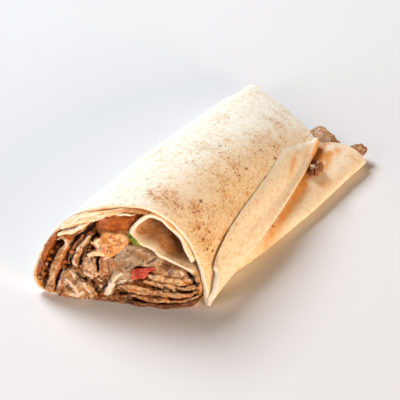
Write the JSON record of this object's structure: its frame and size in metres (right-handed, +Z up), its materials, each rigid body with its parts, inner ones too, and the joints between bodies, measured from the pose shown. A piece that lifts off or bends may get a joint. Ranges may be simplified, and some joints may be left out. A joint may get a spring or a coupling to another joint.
{
  "type": "doner kebab wrap half",
  "caption": "Half of a rolled flatbread wrap lying flat, cut at a slant to show sliced meat, sauce and salad, folded at the other end.",
  "frame": {"origin": "on the ground under the middle of the wrap's bounding box", "axes": "+Y along the roll from the cut face to the folded end, +Z up, +X to the right as seen from the cut face looking along +Y"},
  "size_m": [0.0751, 0.1692, 0.0427],
  "materials": {
    "flatbread_toasted": "matte, toasted in patches",
    "doner_meat": "moist, browned at the edges",
    "garlic_sauce_white": "wet",
    "salad_mixed": "moist",
    "onion_sauced": "moist",
    "tomato_red": "wet"
  },
  "bodies": {
    "root": {"bread_flap_inner": "flatbread_toasted", "flatbread": "flatbread_toasted", "garlic_sauce": "garlic_sauce_white", "meat_bit_side": "doner_meat", "meat_chunk_centre": "doner_meat", "meat_chunk_left": "doner_meat", "meat_chunk_middle": "doner_meat", "meat_chunk_right": "doner_meat", "meat_crumble_bottom": "doner_meat", "meat_slice_left_1": "doner_meat", "meat_slice_left_2": "doner_meat", "meat_slice_left_3": "doner_meat", "meat_slice_left_4": "doner_meat", "meat_slice_right_1": "doner_meat", "meat_slice_right_2": "doner_meat", "meat_slice_right_3": "doner_meat", "meat_slice_right_4": "doner_meat", "meat_tip_far_1": "doner_meat", "meat_tip_far_2": "doner_meat", "salad_filling": "salad_mixed", "sauced_onion": "onion_sauced", "tomato_piece": "tomato_red"}
  },
  "joints": []
}
